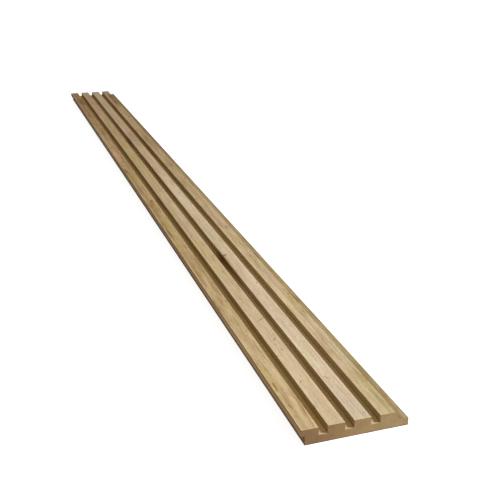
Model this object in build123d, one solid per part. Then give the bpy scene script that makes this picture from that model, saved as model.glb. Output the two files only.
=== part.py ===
from build123d import *
from math import radians, tan
import os

# A slat wall panel lying on its back, in millimetres: +X across it, +Y along it, +Z out of its face.
# The origin is the middle of the back face. The panel is one board milled to one section all along:
# four flat slats with square grooves between them, a lip on the -X side and a ledge on the +X side.
# The last slat is narrower on top, because its side leans out to the ledge.
# Panels join side by side, with the ledge of one under the lip of the next.

# The board and its slats
LENGTH = 2400.0
SLAT_COUNT = 4
SLAT_WIDTH = 26.0
LAST_SLAT_WIDTH = 24.0
GROOVE_WIDTH = 14.0
GROOVE_DEPTH = 12.0
FLOOR_THICKNESS = 13.0

# The joint between two panels
LIP_OVERHANG = 5.5
LEDGE_THICKNESS = 12.5
LEDGE_SIDE_LEAN = 27.5
JOINT_GAP = 0.5
LIP_CLEARANCE = 2.5

# The radii that the cutters leave
SLAT_EASE = 0.8
LEDGE_EASE = 1.0
FLOOR_RADIUS = 0.6

# Sizes that follow from them, measured across from the lip's outer side and up from the back
PITCH = SLAT_WIDTH + GROOVE_WIDTH
THICKNESS = FLOOR_THICKNESS + GROOVE_DEPTH
FACE_WIDTH = (SLAT_COUNT - 1) * PITCH + LAST_SLAT_WIDTH
WIDTH = SLAT_COUNT * PITCH + LIP_OVERHANG - JOINT_GAP
LEDGE_WIDTH = WIDTH - FACE_WIDTH
LIP_UNDERSIDE = LEDGE_THICKNESS + LIP_CLEARANCE
LEDGE_DEPTH = THICKNESS - LEDGE_THICKNESS
LEDGE_SIDE_REACH = LEDGE_DEPTH * tan(radians(LEDGE_SIDE_LEAN))


def blank():
    """The board's section before milling, as wide as the lip and the ledge reach."""
    return Pos(WIDTH / 2, THICKNESS / 2) * Rectangle(WIDTH, THICKNESS)


def groove_cutter(index):
    """The cutter of the groove on the right of one slat, centred on the face, with its tip's corners rounded."""
    middle = index * PITCH + SLAT_WIDTH + GROOVE_WIDTH / 2
    cutter = Pos(middle, THICKNESS) * Rectangle(GROOVE_WIDTH, 2 * GROOVE_DEPTH)
    return fillet(cutter.vertices().group_by(Axis.Y)[0], FLOOR_RADIUS)


def ledge_cutter():
    """The cutter that frees the ledge's top, with a leaning side along the last slat."""
    foot = FACE_WIDTH + LEDGE_SIDE_REACH
    crown = FACE_WIDTH - LEDGE_SIDE_REACH
    outside = WIDTH + LEDGE_WIDTH
    top = THICKNESS + LEDGE_DEPTH
    corners = [(foot, LEDGE_THICKNESS), (outside, LEDGE_THICKNESS), (outside, top), (crown, top)]
    cutter = make_face(Polyline(*corners, close=True))
    foot_corner = cutter.vertices().group_by(Axis.Y)[0].sort_by(Axis.X)[0]
    return fillet([foot_corner], FLOOR_RADIUS)


def rebate_cutter():
    """The cutter of the rebate under the lip, centred on the blank's lower corner."""
    return Rectangle(2 * LIP_OVERHANG, 2 * LIP_UNDERSIDE)


def section():
    """The milled section, with the slats' top corners and the ledge's outer corner eased."""
    milled = blank() - ledge_cutter() - rebate_cutter()
    for index in range(SLAT_COUNT - 1):
        milled -= groove_cutter(index)
    eased = fillet(milled.vertices().group_by(Axis.Y)[-1], SLAT_EASE)
    ledge_corner = eased.vertices().group_by(Axis.X)[-1].sort_by(Axis.Y)[-1]
    return fillet([ledge_corner], LEDGE_EASE)


def slat_panel():
    """The board: its section run along its whole length, centred over the origin."""
    near_end = Plane(origin=(-WIDTH / 2, -LENGTH / 2, 0), x_dir=(1, 0, 0), z_dir=(0, -1, 0))
    return extrude(near_end * section(), -LENGTH)


os.makedirs("parts", exist_ok=True)
export_step(slat_panel(), "parts/slat_panel.step")
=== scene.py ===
from math import cos, radians, sin

import bmesh
import bpy
from mathutils import Matrix, Vector


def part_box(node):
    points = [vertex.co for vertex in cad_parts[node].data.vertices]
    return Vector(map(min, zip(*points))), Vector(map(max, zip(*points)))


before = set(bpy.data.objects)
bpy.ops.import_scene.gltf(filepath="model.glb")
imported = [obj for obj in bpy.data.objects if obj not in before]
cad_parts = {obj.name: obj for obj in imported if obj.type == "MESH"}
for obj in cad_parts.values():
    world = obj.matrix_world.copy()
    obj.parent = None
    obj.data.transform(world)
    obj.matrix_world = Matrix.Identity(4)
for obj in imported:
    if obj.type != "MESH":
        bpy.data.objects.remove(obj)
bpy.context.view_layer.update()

MM = 0.001

# The board as packed. In the materials a place on it is given in millimetres: across from the lip's
# outer side, along from the near end, and up from the back. The frame doesn't give the last four sizes.
LOW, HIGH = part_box("slat_panel")
LENGTH = (HIGH.y - LOW.y) / MM
WIDTH = (HIGH.x - LOW.x) / MM
THICKNESS = (HIGH.z - LOW.z) / MM
PITCH = 40.0
SLAT_WIDTH = 26.0
LIP_OVERHANG = 5.5
LEDGE_START = 144.0

# The camera stands in front of the near end, left of the board, and looks down along it.
CAMERA_FROM_NEAR_CORNER = Vector((-372.4, -888.7, 680.6)) * MM
CAMERA_YAW = radians(18.584)
CAMERA_PITCH = radians(22.073)
FOCAL_LENGTH_PIXELS = 835.3
PICTURE_WIDTH_PIXELS = 500
SENSOR_WIDTH_MM = 36.0

# Lights, in metres and watts
WHITE = (1.0, 1.0, 1.0)
SKY_STRENGTH = 0.50
KEY_PLACE = Vector((1.691, -1.884, 2.253))
KEY_AIM = Vector((0.0, -1.0, 0.0))
KEY_SIZE = 0.5
KEY_POWER = 108.0

# The floor, in metres
FLOOR_SIZE = 40.0
FLOOR_DROP = 0.2 * MM
FLOOR_COLOUR = (0.42, 0.42, 0.42)
FLOOR_GLOW = 0.84
FLOOR_ROUGHNESS = 0.9

# Below, a SIZE is the width and length of a noise's streaks in millimetres, with their height after them
# where it isn't the width. Other short tuples are ranges: where a tone starts and where it is full, in
# millimetres for names in ACROSS, ALONG and UP, and in values of a noise for the rest. Two more numbers
# in a range are the tone's strengths at its start and at its end, where they aren't 0 and 1.
NOISE_MIDDLE = 0.5
FINE_ROUGHNESS = 0.6

# Which faces count as square to an axis, and which as turned to the left or the right, by their normal,
# and how deep into the board a side's own faces may lie, in millimetres
SQUARE_ON = 0.7
FACING_LEFT = (-0.5, -0.9)
FACING_RIGHT = (0.4, 0.8)
SIDE_DEPTH = 1.0

# Colours of the oak face
OAK_LIGHT = (0.540, 0.425, 0.270)
OAK_DARK = (0.330, 0.225, 0.115)
LINE_TONE = (0.42, 0.32, 0.19)

# Tones of its patches, its knots and its cracks
PINK = (1.08, 0.95, 0.98)
OLIVE = (0.95, 0.97, 0.72)
UMBER = (0.74, 0.64, 0.52)
SHADE = (0.80, 0.81, 0.80)
PALE = (1.14, 1.17, 1.24)
RUST = (0.92, 0.75, 0.62)
DARK_OAK = (0.56, 0.42, 0.27)
KNOT_TONE = (0.40, 0.24, 0.08)

# Tone of each slat and of the ledge
SLAT_TONES = [(0.86, 0.83, 0.73), (0.94, 0.955, 0.97), (1.00, 1.06, 1.18), (0.905, 0.91, 0.90)]
LEDGE_TONE = (0.62, 0.62, 0.54)

# How the face turns darker and browner from the near end, at 0, to the far end, at 1: painted shade,
# as the light falls off along the board
FAR_END_SHADE = [
    (0.00, (1.00, 1.00, 1.00)),
    (0.25, (0.95, 0.93, 0.885)),
    (0.45, (0.96, 0.915, 0.85)),
    (0.65, (0.95, 0.88, 0.77)),
    (1.00, (0.94, 0.85, 0.73)),
]

# Outer slats have a stronger grain than inner ones: where it ends past the first slat, and where it comes
# back, a little weaker, before the last.
FIRST_SLAT_ACROSS = (24.0, 34.0, 1.0, 0.0)
LAST_SLAT_ACROSS = (112.0, 122.0, 0.0, 0.7)

# All grain wanders slowly from side to side: the size of its swings, and how far they reach
WANDER_SIZE = (40.0, 420.0)
WANDER_REACH = 9.0

# Figure of the oak: width and length of its streaks, fractal detail, and contrast on outer and inner slats
FIGURE = [
    (12.0, 90.0, 3.0, 1.8, 0.75),
    (4.0, 420.0, 3.0, 1.8, 0.55),
    (3.2, 45.0, 2.0, 1.5, 0.75),
    (1.5, 150.0, 3.0, 1.6, 0.90),
    (0.6, 45.0, 2.0, 1.0, 0.80),
]
FIGURE_ROUGHNESS = 0.55
FIGURE_MIDDLE = 0.32

# Fine rays that lean across the grain of the inner slats
RAY_LEAN = radians(18)
RAY_SIZE = (1.4, 26.0)
RAY_CONTRAST = 0.5

# Dark veins along the grain, and short dark flecks: width, length, and strength on outer and inner slats.
# A vein lies where its noise is near its middle. A second noise, whose streaks are so many times as wide
# and as long, makes it fade in and out.
VEINS = [(7.0, 600.0, 0.36, 0.12), (4.0, 330.0, 0.34, 0.10)]
VEIN_REACH = (0.035, 0.005)
VEIN_SHOWN = (0.44, 0.62)
VEIN_SHOWN_WIDTHS = 1.5
VEIN_SHOWN_LENGTHS = 0.4
FLECKS = [(0.5, 14.0, 0.60, 0.55), (1.1, 10.0, 0.60, 0.50), (1.9, 26.0, 0.50, 0.10)]
FLECK_EDGE = (0.63, 0.74)

# A slow drift of hue over the whole face, to pink where its noise is high and to olive where it is low
HUE_SIZE = (20.0, 130.0)
TO_PINK = (0.52, 0.72, 0.0, 0.6)
TO_OLIVE = (0.48, 0.28, 0.0, 0.6)

# The ragged outlines of patches, knots and cracks: width, length and reach of their tears. A core is how
# far out an oval has its full strength, as a share of its size.
TEARS = [(5.0, 12.0, 1.8), (1.2, 3.0, 0.7)]
TEAR_NOISE = (0.2, 0.8)
PATCH_CORE = 0.2
MARK_CORE = 0.35

# The grooves are browner and have a weaker grain. Each has its own tone, against the slats, which is partly
# painted warm shade. Their left-facing walls are darker still, and darker again near the near end: painted
# shade. Their floors are browner where they meet the near end.
GROOVE_UP = (24.0, 20.0)
GROOVE_GRAIN = 0.5
GROOVE_SHADE_TONES = [(1.16, 1.06, 0.72), (1.08, 0.97, 0.69), (1.20, 1.14, 0.88)]
WALL_SHADE = (0.57, 0.56, 0.48)
END_WALL_SHADE = (0.90, 0.78, 0.72)
END_WALL_ALONG = (30.0, 4.0)
# Painted shade on the last slat's leaning side
LEAN_SHADE = (0.80, 0.76, 0.68)
MOUTH_OAK = (0.42, 0.29, 0.18)
MOUTH_ALONG = (8.0, 4.0, 0.0, 0.8)
MOUTH_UP = (16.0, 14.0)

# The slats' top corners are worn pale in places, partly a painted highlight, and the oak is browner at the
# very ends.
WORN_HIGHLIGHT_OAK = (0.600, 0.450, 0.270)
WORN_HIGHLIGHT_SIZE = (4.0, 30.0)
WORN_HIGHLIGHT_NOISE = (0.35, 0.65, 0.1, 0.45)
CORNER_WIDTH = 1.6
CORNER_FULL = 0.3
CORNER_UP = (THICKNESS - 1.6, THICKNESS - 0.2)
END_ALONG = (1.0, 0.2, 0.0, 0.2)
END_UP = (19.0, 23.0)

# Bump and roughness of the whole board
PORE_SIZE = (0.7, 14.0)
BUMP_STRENGTH = 0.5
BUMP_HEIGHT = 0.0002
POLISH_SIZE = (2.0, 60.0)
ROUGHNESS = (0.3, 0.7, 0.60, 0.78)
SHINE = 0.12

# The bare board on the sawn ends, along the joint's sides and on the back: its colours, and the sizes and
# shares of its soft clouds and its fine fibre
CORE_LIGHT = (0.318, 0.210, 0.099)
CORE_DARK = (0.228, 0.143, 0.064)
CLOUD_SIZE = (14.0, 60.0)
CLOUD_SHARE = 0.7
FIBRE_SIZE = (1.1, 5.0, 0.8)
FIBRE_SHARE = 0.5
CORE_NOISE = (0.25, 0.95)

# It has painted shade, darker on the left, and painted light, a little paler on the right, and is yellower
# high up on the ends.
CORE_LEFT_SHADE = (0.70, 0.62, 0.60)
CORE_LEFT_ACROSS = (125.0, 0.0)
CORE_RIGHT_LIGHT = (1.01, 1.06, 1.07)
CORE_RIGHT_ACROSS = (95.0, 150.0)
CREST_TONE = (0.95, 1.00, 0.82)
CREST_UP = (20.5, 23.0)
CREST_ACROSS = (30.0, 60.0)

# Off the ends, the lip's side turns darker from the near end, at 0, to the far end, at 1, after a brighter
# band
# near the near end: painted light and shade along the board. It has painted shade in the rebate under the
# lip, and is a little darker along the lip's top edge.
SIDE_ACROSS = (120.0, 20.0)
SIDE_FAR_END_SHADE = [
    (0.00, (1.12, 1.19, 0.84)),
    (0.10, (1.32, 1.37, 0.98)),
    (0.25, (0.86, 0.81, 0.46)),
    (0.45, (0.70, 0.64, 0.29)),
    (0.65, (0.70, 0.61, 0.28)),
    (1.00, (0.32, 0.22, 0.03)),
]
REBATE_SHADE = (0.45, 0.39, 0.38)
REBATE_UP = (15.5, 13.0)
LIP_EDGE_TONE = (0.80, 0.72, 0.58)
LIP_EDGE_UP = (20.0, 22.5)

# The ends are scorched low down, and have dark crumbs along their top, fewer to the right.
SCORCH = (0.110, 0.052, 0.024)
SCORCH_SIZE = (12.0, 60.0, 3.0)
SCORCH_NOISE = (0.38, 0.62, 0.1, 0.9)
SCORCH_UP = (2.4, 0.2)
CRUMB_SIZE = (1.6, 5.0, 0.8)
CRUMB_NOISE = (0.4, 0.6)
CRUMB_ACROSS = (10.0, 70.0, 0.5, 0.1)
CRUMB_UP = (THICKNESS - 3.0, THICKNESS - 1.2)

# Knots and short cracks: across, along, half width, half length, turn in degrees, strength
MARKS = [
    # First slat
    (8, 62, 3.0, 11, 0, 0.45),
    (3, 190, 1.6, 26, 0, 0.45),
    (5, 118, 2.4, 20, 0, 0.60),
    (23, 430, 1.0, 90, 0, 0.45),
    (5.5, 505, 1.5, 24, 0, 0.50),
    (0.8, 425, 1.5, 14, 0, 0.70),
    (16, 1022, 4.0, 11, 0, 0.80),
    (9, 950, 3.0, 8, 0, 0.35),
    (6, 800, 2.5, 50, 0, 0.40),
    (18, 700, 2.0, 60, 0, 0.40),
    (5, 1290, 3.0, 22, 0, 0.60),
    (10, 1550, 3.5, 8, 0, 0.50),
    (9, 2070, 3.0, 12, 0, 0.35),
    # Second slat
    (41.5, 52, 1.4, 9, 0, 0.75),
    (47.5, 120, 1.1, 6, -35, 0.90),
    (55, 222, 1.0, 6, 10, 0.80),
    (51, 240, 0.9, 7, 15, 0.70),
    (56, 259, 1.2, 10, -30, 0.80),
    (60, 336, 1.2, 12, -55, 0.90),
    (54, 331, 0.9, 8, -60, 0.60),
    (43, 380, 0.9, 8, 0, 0.50),
    (56, 552, 1.8, 12, 20, 0.50),
    (62, 640, 1.2, 20, -20, 0.45),
    (47, 760, 1.2, 14, -30, 0.50),
    # Third slat, and the groove on its left
    (84.5, 634, 7.5, 4.2, 0, 1.00),
    (76, 640, 9.0, 34, 0, 0.30),
    (89, 118, 4.0, 9, 30, 0.35),
    (102, 482, 1.6, 8, -20, 0.60),
    (104, 360, 1.1, 7, 0, 0.55),
    (83, 700, 1.2, 30, 0, 0.35),
    (96, 1612, 8.0, 10, 20, 0.25),
    # Last slat
    (142, 419, 2.2, 9, 0, 0.50),
    (141, 345, 1.8, 26, 0, 0.35),
    (133, 531, 2.2, 16, 0, 0.30),
    (143, 100, 1.4, 22, 0, 0.50),
    (134, 612, 2.5, 14, 0, 0.40),
    (135, 790, 3.0, 10, 0, 0.50),
    (139, 1175, 2.5, 12, 0, 0.50),
    (137, 1312, 3.0, 14, 0, 0.60),
    (139, 1500, 1.8, 44, 0, 0.45),
    (125, 1387, 1.8, 8, 0, 0.45),
    (137, 1937, 3.5, 18, 0, 0.60),
    (137, 2300, 3.5, 22, 0, 0.45),
    # Ledge
    (152, 165, 3.0, 12, 0, 0.60),
    (156, 420, 3.0, 26, 0, 0.35),
    (155, 640, 3.0, 26, 0, 0.55),
    (154, 330, 1.6, 40, 0, 0.50),
]

# Soft patches of another tone: colour, across, along, half width, half length, strength
PATCHES = [
    # First slat
    (OLIVE, 6, 140, 6, 100, 0.8),
    (UMBER, 9, 50, 4, 70, 0.4),
    (PALE, 22.5, 180, 4, 290, 1.0),
    (SHADE, 10, 110, 7, 190, 0.55),
    (PINK, 17, 90, 6, 110, 0.5),
    (OLIVE, 3, 410, 4, 50, 0.8),
    (OLIVE, 9, 575, 14, 50, 0.6),
    (RUST, 8, 545, 10, 26, 0.5),
    (UMBER, 20, 630, 8, 50, 0.5),
    (UMBER, 8, 630, 13, 150, 0.3),
    (RUST, 14, 1010, 9, 34, 0.5),
    (PINK, 22, 1010, 6, 40, 0.5),
    (UMBER, 9, 965, 16, 90, 0.65),
    (PALE, 6, 1150, 8, 80, 0.6),
    (OLIVE, 12, 1235, 16, 90, 1.0),
    (UMBER, 5, 1290, 7, 55, 0.9),
    (PALE, 8, 1445, 11, 110, 1.3),
    (PINK, 9, 1440, 14, 90, 0.9),
    (UMBER, 15, 1720, 9, 90, 0.6),
    (PALE, 3, 1690, 3, 70, 1.0),
    (OLIVE, 9, 1855, 10, 40, 0.9),
    (RUST, 11, 1965, 16, 170, 0.55),
    (PALE, 8, 2050, 2, 110, 0.8),
    (OLIVE, 10, 850, 16, 190, 0.6),
    (SHADE, 8, 1800, 8, 160, 0.3),
    (UMBER, 17, 1830, 13, 180, 0.4),
    (UMBER, 12, 1300, 24, 620, 0.25),
    (UMBER, 12, 2060, 20, 190, 0.5),
    (DARK_OAK, 17, 2230, 14, 100, 0.9),
    (UMBER, 12, 2200, 24, 330, 0.4),
    (UMBER, 14, 2330, 24, 90, 0.4),
    (UMBER, 4, 2200, 6, 130, 0.5),
    (PALE, 20, 2300, 8, 60, 0.8),
    (OLIVE, 4, 2370, 9, 50, 0.8),
    # Second slat
    (OLIVE, 47, 690, 9, 60, 0.8),
    (OLIVE, 55, 620, 20, 160, 0.4),
    (UMBER, 46, 820, 10, 150, 0.4),
    (PALE, 62, 980, 6, 140, 0.6),
    (PALE, 62, 230, 5, 100, 0.5),
    (OLIVE, 53, 1450, 22, 480, 0.6),
    (UMBER, 53, 1760, 26, 200, 0.2),
    (PINK, 53, 2110, 16, 190, 0.6),
    (UMBER, 53, 2230, 20, 90, 0.2),
    (PALE, 47, 2350, 10, 60, 0.6),
    # Third slat
    (SHADE, 93, 50, 22, 100, 0.65),
    (PINK, 93, 1370, 18, 110, 0.6),
    (OLIVE, 93, 1500, 18, 70, 0.5),
    (UMBER, 96, 1640, 18, 140, 0.55),
    (PALE, 93, 1040, 22, 330, 0.75),
    (PALE, 103, 650, 4, 450, 0.8),
    (PALE, 90, 2290, 18, 130, 0.8),
    # Last slat
    (SHADE, 139, 90, 13, 190, 0.8),
    (SHADE, 125, 10, 40, 120, 0.25),
    (PALE, 125, 30, 5, 60, 0.3),
    (OLIVE, 137, 40, 12, 90, 0.7),
    (SHADE, 135, 20, 8, 60, 0.3),
    (PALE, 125, 340, 8, 150, 0.6),
    (OLIVE, 138, 100, 9, 60, 0.5),
    (OLIVE, 140, 380, 6, 90, 0.8),
    (SHADE, 141, 520, 6, 100, 0.7),
    (UMBER, 138, 1330, 8, 110, 0.3),
    (UMBER, 134, 1600, 18, 170, 0.6),
    (UMBER, 133, 1150, 22, 400, 0.2),
    (OLIVE, 142, 1690, 6, 50, 0.9),
    (RUST, 130, 1735, 15, 40, 0.7),
    (PALE, 125, 1850, 8, 280, 0.9),
    (OLIVE, 134, 2010, 16, 110, 0.8),
    (PALE, 128, 2040, 10, 90, 0.6),
    (DARK_OAK, 138, 2225, 17, 140, 0.7),
    (RUST, 139, 2160, 14, 80, 0.9),
    (DARK_OAK, 138, 2300, 13, 60, 0.7),
    (OLIVE, 128, 2370, 12, 40, 0.7),
    # Ledge
    (SHADE, 156, 110, 8, 190, 0.7),
    # These two darken the ledge along the last slat's foot: painted shade
    (DARK_OAK, 151.5, 20, 3.6, 140, 0.7),
    (DARK_OAK, 155.5, 70, 4.5, 170, 0.45),
    (OLIVE, 162, 230, 7, 300, 0.35),
    (PALE, 154.5, 760, 2.5, 620, 0.8),
    (UMBER, 164, 1750, 6, 900, 1.0),
    (PINK, 160, 60, 8, 60, 0.6),
    (OLIVE, 157, 500, 12, 160, 0.5),
    (UMBER, 157, 1650, 14, 300, 0.4),
    (RUST, 157, 2250, 14, 140, 0.7),
    # Grooves
    (PALE, 36, 180, 12, 270, 0.7),
    (DARK_OAK, 36, 1030, 12, 60, 0.3),
    (PALE, 76, 260, 12, 170, 1.0),
    (UMBER, 76, 600, 12, 150, 1.0),
    (DARK_OAK, 77, 630, 9, 70, 0.6),
    (PALE, 76, 470, 10, 60, 0.4),
    (UMBER, 76, 1200, 12, 240, 0.4),
    (DARK_OAK, 76, 1625, 12, 90, 0.7),
    (PALE, 76, 2080, 12, 280, 0.7),
    (PALE, 116, 560, 12, 620, 1.0),
    (UMBER, 116, 1510, 12, 130, 0.5),
    (RUST, 116, 2110, 12, 110, 0.6),
]


class Shader:
    """A material's node tree, with one short call for each kind of node used here."""

    def __init__(self, name):
        self.material = bpy.data.materials.new(name)
        self.material.use_nodes = True
        self.tree = self.material.node_tree
        self.surface = self.tree.nodes["Principled BSDF"].inputs

    def node(self, kind, sockets, **settings):
        """A new node, with a link or a constant for each of the sockets named."""
        made = self.tree.nodes.new(kind)
        for name, value in settings.items():
            setattr(made, name, value)
        for socket, value in sockets.items():
            self.feed(made.inputs[socket], value)
        return made

    def feed(self, socket, value):
        """Links another node's output to the socket, or sets the constant on it."""
        if isinstance(value, bpy.types.NodeSocket):
            self.tree.links.new(value, socket)
        elif socket.type == "RGBA":
            socket.default_value = (*value, 1.0)
        else:
            socket.default_value = value

    def math(self, operation, first, second=0.0, third=0.0):
        sockets = {0: first, 1: second, 2: third}
        return self.node("ShaderNodeMath", sockets, operation=operation).outputs[0]

    def times(self, first, second):
        return self.math("MULTIPLY", first, second)

    def larger(self, first, second):
        return self.math("MAXIMUM", first, second)

    def vector(self, operation, first, second):
        made = self.node("ShaderNodeVectorMath", {0: first, 1: second}, operation=operation)
        return made.outputs["Value" if operation == "DOT_PRODUCT" else "Vector"]

    def split(self, vector):
        return self.node("ShaderNodeSeparateXYZ", {0: vector}).outputs

    def shifted(self, place, across, along=0.0):
        """The place, moved across and along."""
        shift = self.node("ShaderNodeCombineXYZ", {0: across, 1: along}).outputs[0]
        return self.vector("ADD", place, shift)

    def noise(self, place, size, detail=2.0, roughness=0.5):
        """Noise from 0 to 1 in streaks of a size: width, length and, where it isn't the width, height."""
        width, length, *height = size
        streak = (width, length, *(height or [width]))
        stretched = self.vector("DIVIDE", place, streak)
        sockets = {"Vector": stretched, "Scale": 1.0, "Detail": detail, "Roughness": roughness}
        return self.node("ShaderNodeTexNoise", sockets).outputs[0]

    def smooth(self, value, start, end, low=0.0, high=1.0):
        """Runs smoothly from low to high as value goes from start to end."""
        sockets = {"Value": value, "From Min": start, "From Max": end, "To Min": low, "To Max": high}
        settings = {"interpolation_type": "SMOOTHSTEP", "clamp": False}
        return self.node("ShaderNodeMapRange", sockets, **settings).outputs["Result"]

    def line(self, value, start, end, low=0.0, high=1.0):
        """Runs straight from low to high as value goes from start to end, and stays there."""
        sockets = {"Value": value, "From Min": start, "From Max": end, "To Min": low, "To Max": high}
        return self.node("ShaderNodeMapRange", sockets).outputs["Result"]

    def mix(self, share, first, second, blend="MIX"):
        """Mixes two colours, whose sockets on the node are 6 and 7. The colour output is 2."""
        sockets = {0: share, 6: first, 7: second}
        return self.node("ShaderNodeMix", sockets, data_type="RGBA", blend_type=blend).outputs[2]

    def toned(self, share, colour, tone):
        """The colour, with a share of it multiplied by a tone."""
        return self.mix(share, colour, self.mix(1.0, colour, tone, "MULTIPLY"))

    def ramp(self, value, stops, interpolation):
        """A colour for each value, from (value, colour) stops that run from 0 to 1."""
        made = self.node("ShaderNodeValToRGB", {0: value})
        made.color_ramp.interpolation = interpolation
        elements = made.color_ramp.elements
        while len(elements) < len(stops):
            elements.new(0.5)
        for element, (position, colour) in zip(elements, stops):
            element.position = position
            element.color = (*colour, 1.0)
        return made.outputs[0]

    def spot(self, place, across, along, half_width, half_length, turn=0.0, core=MARK_CORE):
        """1 in the middle of an oval on the board's face and 0 outside it, all the way through."""
        middle = Vector((across, along, 0.0))
        turned = Matrix.Rotation(radians(turn), 3, "Z")
        squares = 0.0
        for axis in [turned.col[0] / half_width, turned.col[1] / half_length]:
            reached = self.vector("DOT_PRODUCT", place, tuple(axis))
            away = self.math("SUBTRACT", reached, axis.dot(middle))
            squares = self.math("MULTIPLY_ADD", away, away, squares)
        return self.smooth(self.math("SQRT", squares), core, 1.0, 1.0, 0.0)


class BoardShader(Shader):
    """A node tree that knows each point's place on the board in millimetres."""

    def __init__(self, name):
        super().__init__(name)
        coordinates = self.node("ShaderNodeTexCoord", {}).outputs["Object"]
        from_corner = self.vector("SUBTRACT", coordinates, tuple(LOW))
        self.place = self.vector("MULTIPLY", from_corner, (1 / MM, 1 / MM, 1 / MM))
        self.across, self.along, self.up = self.split(self.place)

    def by_strip(self, starts, tones):
        """The tone of the strip that the point is in, from where each strip starts across the board."""
        stops = [(start / WIDTH, tone) for start, tone in zip(starts, tones)]
        return self.ramp(self.math("DIVIDE", self.across, WIDTH), stops, "CONSTANT")

    def by_length(self, stops):
        """The tone at the point's share of the board's length."""
        return self.ramp(self.math("DIVIDE", self.along, LENGTH), stops, "LINEAR")

    def by_slat(self, outer, on_outer, on_inner):
        """The strength that goes with the slat, from a value for outer slats and one for inner slats."""
        return self.line(outer, 0.0, 1.0, on_inner, on_outer)


def faces(shader):
    """Where the sawn ends, all bare faces, the grooves' left-facing walls and the leaning side are."""
    normal = shader.split(shader.node("ShaderNodeTexCoord", {}).outputs["Normal"])
    ends = shader.math("GREATER_THAN", shader.math("ABSOLUTE", normal["Y"]), SQUARE_ON)
    back = shader.math("LESS_THAN", normal["Z"], -SQUARE_ON)
    left = shader.smooth(normal["X"], *FACING_LEFT)
    right = shader.smooth(normal["X"], *FACING_RIGHT)
    lip_side = shader.times(left, by_lip(shader))
    ledge_side = shader.times(right, shader.math("GREATER_THAN", shader.across, WIDTH - SIDE_DEPTH))
    bare = shader.larger(shader.larger(ends, back), shader.larger(lip_side, ledge_side))
    wall = shader.math("SUBTRACT", left, lip_side)
    lean = shader.times(right, shader.math("GREATER_THAN", shader.across, LEDGE_START))
    return ends, bare, wall, lean


def by_lip(shader):
    """Which points are no further in than the rebate's wall."""
    return shader.math("LESS_THAN", shader.across, LIP_OVERHANG + SIDE_DEPTH)


def face_tone(shader):
    """The tone of each slat and of the ledge, and the painted shade that makes all darker and browner
    towards the far end.
    """
    half_groove = (PITCH - SLAT_WIDTH) / 2
    groove_middles = [index * PITCH - half_groove for index in range(1, len(SLAT_TONES))]
    slat = shader.by_strip([0.0, *groove_middles, LEDGE_START], [*SLAT_TONES, LEDGE_TONE])
    # Painted shade: darker and browner towards the far end
    return shader.mix(1.0, slat, shader.by_length(FAR_END_SHADE), "MULTIPLY")


def groove_shade_tone(shader):
    """The tone of the groove that the point is in, partly painted warm shade."""
    starts = [index * PITCH for index in range(len(GROOVE_SHADE_TONES))]
    return shader.by_strip(starts, GROOVE_SHADE_TONES)


def bent_place(shader):
    """The place, swung slowly from side to side so that the grain drawn with it wanders."""
    wander = shader.noise(shader.place, WANDER_SIZE)
    return shader.shifted(shader.place, shader.line(wander, 0.0, 1.0, -WANDER_REACH, WANDER_REACH))


def figure(shader, bent, outer):
    """How dark the grain is, from 0 to 1: streaks of several sizes, and rays that lean across them."""
    total = FIGURE_MIDDLE
    for width, length, detail, on_outer, on_inner in FIGURE:
        streaks = shader.noise(bent, (width, length), detail, FIGURE_ROUGHNESS)
        contrast = shader.by_slat(outer, on_outer, on_inner)
        total = shader.math("MULTIPLY_ADD", shader.math("SUBTRACT", streaks, NOISE_MIDDLE), contrast, total)
    lean = {"Vector": bent, "Rotation": (0.0, 0.0, RAY_LEAN)}
    rays = shader.noise(shader.node("ShaderNodeMapping", lean).outputs[0], RAY_SIZE)
    contrast = shader.by_slat(outer, 0.0, RAY_CONTRAST)
    total = shader.math("MULTIPLY_ADD", shader.math("SUBTRACT", rays, NOISE_MIDDLE), contrast, total)
    return shader.line(total, 0.0, 1.0)


def dark_lines(shader, bent, outer):
    """Where the veins and the flecks are."""
    lines = 0.0
    for width, length, on_outer, on_inner in VEINS:
        waves = shader.noise(bent, (width, length))
        from_vein = shader.math("ABSOLUTE", shader.math("SUBTRACT", waves, NOISE_MIDDLE))
        strength = shader.by_slat(outer, on_outer, on_inner)
        shown = shader.noise(bent, (VEIN_SHOWN_WIDTHS * width, VEIN_SHOWN_LENGTHS * length))
        shown = shader.times(strength, shader.smooth(shown, *VEIN_SHOWN))
        lines = shader.larger(lines, shader.times(shown, shader.smooth(from_vein, *VEIN_REACH)))
    for width, length, on_outer, on_inner in FLECKS:
        flecks = shader.noise(bent, (width, length), detail=1.0)
        strength = shader.by_slat(outer, on_outer, on_inner)
        lines = shader.larger(lines, shader.times(strength, shader.smooth(flecks, *FLECK_EDGE)))
    return lines


def grained_oak(shader, clear):
    """The oak with its figure, veins and flecks, and its drift of hue. Clear is how strong its grain is."""
    first_slat = shader.smooth(shader.across, *FIRST_SLAT_ACROSS)
    outer = shader.larger(first_slat, shader.smooth(shader.across, *LAST_SLAT_ACROSS))
    bent = bent_place(shader)
    lines = shader.times(dark_lines(shader, bent, outer), clear)
    grain = shader.math("SUBTRACT", figure(shader, bent, outer), FIGURE_MIDDLE)
    grain = shader.math("MULTIPLY_ADD", grain, clear, FIGURE_MIDDLE)
    colour = shader.toned(lines, shader.mix(grain, OAK_LIGHT, OAK_DARK), LINE_TONE)
    hue = shader.noise(shader.place, HUE_SIZE, detail=3.0)
    colour = shader.toned(shader.smooth(hue, *TO_PINK), colour, PINK)
    colour = shader.toned(shader.smooth(hue, *TO_OLIVE), colour, OLIVE)
    return shader.mix(1.0, colour, face_tone(shader), "MULTIPLY")


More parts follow.
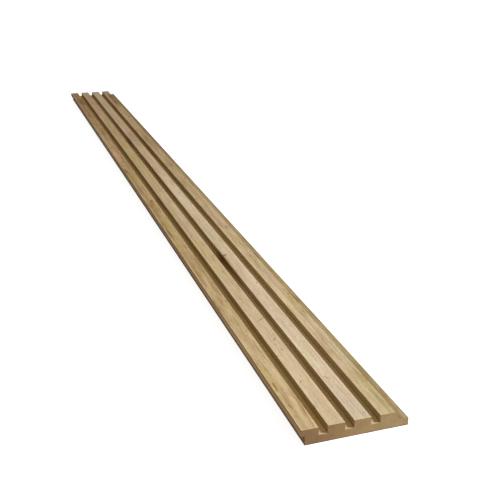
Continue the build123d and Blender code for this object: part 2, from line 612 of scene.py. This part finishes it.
def torn_place(shader):
    """The place, shifted a little by noise so that the outlines drawn with it are ragged."""
    torn = shader.place
    for width, length, reach in TEARS:
        tear = shader.noise(torn, (width, length), detail=1.0)
        tear = shader.line(tear, *TEAR_NOISE, -reach, reach)
        torn = shader.shifted(torn, tear, tear)
    return torn


def spotted(shader, colour):
    """The colour with the soft patches on it, and on them the knots and cracks."""
    torn = torn_place(shader)
    for tone, *oval, strength in PATCHES:
        share = shader.times(shader.spot(torn, *oval, core=PATCH_CORE), strength)
        colour = shader.toned(share, colour, tone)
    marks = 0.0
    for *oval, strength in MARKS:
        marks = shader.larger(marks, shader.times(shader.spot(torn, *oval), strength))
    return shader.toned(marks, colour, KNOT_TONE)


def oak_colour(shader, wall, lean):
    """The oak face: grained and spotted, with painted shade in the grooves and on the last slat's leaning
    side.
    """
    on_slats = shader.math("LESS_THAN", shader.across, LEDGE_START)
    groove = shader.times(shader.smooth(shader.up, *GROOVE_UP), on_slats)
    clear = shader.line(groove, 0.0, 1.0, 1.0, GROOVE_GRAIN)
    colour = spotted(shader, grained_oak(shader, clear))
    # Each groove's own tone, partly painted warm shade
    colour = shader.toned(groove, colour, groove_shade_tone(shader))
    mouth = shader.times(shader.smooth(shader.along, *MOUTH_ALONG), shader.smooth(shader.up, *MOUTH_UP))
    colour = shader.mix(shader.times(mouth, groove), colour, MOUTH_OAK)
    # Painted shade on the grooves' left-facing walls
    colour = shader.toned(wall, colour, WALL_SHADE)
    # More painted shade on those walls near the near end
    end_wall = shader.times(shader.smooth(shader.along, *END_WALL_ALONG), wall)
    colour = shader.toned(end_wall, colour, END_WALL_SHADE)
    # Painted shade on the last slat's leaning side
    return shader.toned(lean, colour, LEAN_SHADE)


def worn_highlighted_oak(shader, oak):
    """The oak, worn pale along the slats' top corners, partly a painted highlight, and browner at the very
    ends.
    """
    in_slat = shader.math("WRAP", shader.across, PITCH, 0.0)
    from_middle = shader.math("ABSOLUTE", shader.math("SUBTRACT", in_slat, SLAT_WIDTH / 2))
    inside, outside = SLAT_WIDTH / 2 - CORNER_WIDTH, SLAT_WIDTH / 2 - CORNER_FULL
    from_last = shader.math("ABSOLUTE", shader.math("SUBTRACT", shader.across, LEDGE_START))
    last_corner = shader.smooth(from_last, CORNER_WIDTH, CORNER_FULL)
    corner = shader.larger(shader.smooth(from_middle, inside, outside), last_corner)
    corner = shader.times(corner, shader.smooth(shader.up, *CORNER_UP))
    # Wear along the top corners, partly a painted highlight
    worn_highlight = shader.noise(shader.place, WORN_HIGHLIGHT_SIZE, detail=3.0, roughness=FINE_ROUGHNESS)
    worn_highlight = shader.times(corner, shader.smooth(worn_highlight, *WORN_HIGHLIGHT_NOISE))
    oak = shader.mix(worn_highlight, oak, WORN_HIGHLIGHT_OAK)
    from_end = shader.math("MINIMUM", shader.along, shader.math("SUBTRACT", LENGTH, shader.along))
    at_end = shader.times(shader.smooth(from_end, *END_ALONG), shader.smooth(shader.up, *END_UP))
    return shader.mix(at_end, oak, CORE_DARK)


def core_colour(shader, ends):
    """The bare brown board: fine fibre with soft clouds, painted shade on the lip's side, and marked by the
    saw.
    """
    clouds = shader.noise(shader.place, CLOUD_SIZE)
    fibre = shader.noise(shader.place, FIBRE_SIZE, detail=3.0, roughness=FINE_ROUGHNESS)
    share = shader.math("ADD", shader.times(clouds, CLOUD_SHARE), shader.times(fibre, FIBRE_SHARE))
    colour = shader.mix(shader.line(share, *CORE_NOISE), CORE_LIGHT, CORE_DARK)
    # Painted shade on the left and painted light on the right of the bare board
    colour = shader.toned(shader.smooth(shader.across, *CORE_LEFT_ACROSS), colour, CORE_LEFT_SHADE)
    colour = shader.toned(shader.smooth(shader.across, *CORE_RIGHT_ACROSS), colour, CORE_RIGHT_LIGHT)

    off_ends = shader.math("SUBTRACT", 1.0, ends)
    on_side = shader.times(shader.smooth(shader.across, *SIDE_ACROSS), off_ends)
    # Painted light and shade along the lip's side: brighter near the near end, darker towards the far end
    colour = shader.toned(on_side, colour, shader.by_length(SIDE_FAR_END_SHADE))
    on_lip = shader.times(by_lip(shader), off_ends)
    # Painted shade in the rebate under the lip
    colour = shader.toned(shader.times(on_lip, shader.smooth(shader.up, *REBATE_UP)), colour, REBATE_SHADE)
    lip_edge = shader.times(on_lip, shader.smooth(shader.up, *LIP_EDGE_UP))
    colour = shader.toned(lip_edge, colour, LIP_EDGE_TONE)
    crest = shader.times(shader.smooth(shader.up, *CREST_UP), shader.smooth(shader.across, *CREST_ACROSS))
    colour = shader.toned(shader.times(crest, ends), colour, CREST_TONE)
    return shader.mix(shader.times(saw_marks(shader), ends), colour, SCORCH)


def saw_marks(shader):
    """How scorched an end is: blotches low down, and crumbs along its top."""
    scorch = shader.noise(shader.place, SCORCH_SIZE, detail=3.0, roughness=FINE_ROUGHNESS)
    scorch = shader.times(shader.smooth(shader.up, *SCORCH_UP), shader.smooth(scorch, *SCORCH_NOISE))
    crumbs = shader.noise(shader.place, CRUMB_SIZE)
    crumbs = shader.smooth(crumbs, *CRUMB_NOISE, 0.0, shader.line(shader.across, *CRUMB_ACROSS))
    crumbs = shader.times(shader.smooth(shader.up, *CRUMB_UP), crumbs)
    return shader.larger(scorch, crumbs)


def oak_board():
    """The board's one material: oak on the milled face, bare board on its ends, back and joint sides."""
    shader = BoardShader("oak_board")
    ends, bare, wall, lean = faces(shader)
    oak = worn_highlighted_oak(shader, oak_colour(shader, wall, lean))
    shader.feed(shader.surface["Base Color"], shader.mix(bare, oak, core_colour(shader, ends)))
    pores = shader.noise(shader.place, PORE_SIZE)
    sockets = {"Strength": BUMP_STRENGTH, "Distance": BUMP_HEIGHT, "Height": pores}
    shader.feed(shader.surface["Normal"], shader.node("ShaderNodeBump", sockets).outputs[0])
    polish = shader.noise(shader.place, POLISH_SIZE)
    shader.feed(shader.surface["Roughness"], shader.line(polish, *ROUGHNESS))
    shader.feed(shader.surface["Specular IOR Level"], SHINE)
    return shader.material


def floor():
    """A plain pale floor under the board."""
    shader = Shader("studio_floor")
    shader.feed(shader.surface["Base Color"], FLOOR_COLOUR)
    shader.feed(shader.surface["Emission Color"], WHITE)
    shader.feed(shader.surface["Emission Strength"], FLOOR_GLOW)
    shader.feed(shader.surface["Roughness"], FLOOR_ROUGHNESS)
    half = FLOOR_SIZE / 2
    level = LOW.z - FLOOR_DROP
    corners = [(-half, -half), (half, -half), (half, half), (-half, half)]
    made = bmesh.new()
    made.faces.new([made.verts.new((x, y, level)) for x, y in corners])
    mesh = bpy.data.meshes.new("studio_floor")
    made.to_mesh(mesh)
    made.free()
    mesh.materials.append(shader.material)
    plane = bpy.data.objects.new("studio_floor", mesh)
    bpy.context.collection.objects.link(plane)


def lights():
    """An even white sky, and one softbox low on the right that leaves the slats' left sides in shade."""
    world = bpy.data.worlds.new("studio")
    world.use_nodes = True
    sky = world.node_tree.nodes["Background"].inputs
    sky["Color"].default_value = (*WHITE, 1.0)
    sky["Strength"].default_value = SKY_STRENGTH
    bpy.context.scene.world = world
    lamp = bpy.data.lights.new("key", "AREA")
    lamp.energy = KEY_POWER
    lamp.size = KEY_SIZE
    key = bpy.data.objects.new("key", lamp)
    key.location = KEY_PLACE
    key.rotation_euler = (KEY_AIM - KEY_PLACE).to_track_quat("-Z", "Y").to_euler()
    bpy.context.collection.objects.link(key)


def camera():
    """The photograph's viewpoint, with the camera held level from side to side."""
    data = bpy.data.cameras.new("camera")
    data.sensor_width = SENSOR_WIDTH_MM
    data.lens = FOCAL_LENGTH_PIXELS / PICTURE_WIDTH_PIXELS * SENSOR_WIDTH_MM
    data.clip_end = 2 * FLOOR_SIZE
    level = cos(CAMERA_PITCH)
    forward = Vector((sin(CAMERA_YAW) * level, cos(CAMERA_YAW) * level, -sin(CAMERA_PITCH)))
    right = Vector((cos(CAMERA_YAW), -sin(CAMERA_YAW), 0.0))
    turn = Matrix((right, right.cross(forward), -forward)).transposed().to_4x4()
    eye = bpy.data.objects.new("camera", data)
    eye.matrix_world = Matrix.Translation(LOW + CAMERA_FROM_NEAR_CORNER) @ turn
    bpy.context.collection.objects.link(eye)
    bpy.context.scene.camera = eye


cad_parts["slat_panel"].material_slots[0].material = oak_board()
floor()
lights()
camera()
bpy.context.scene.view_settings.view_transform = "Standard"
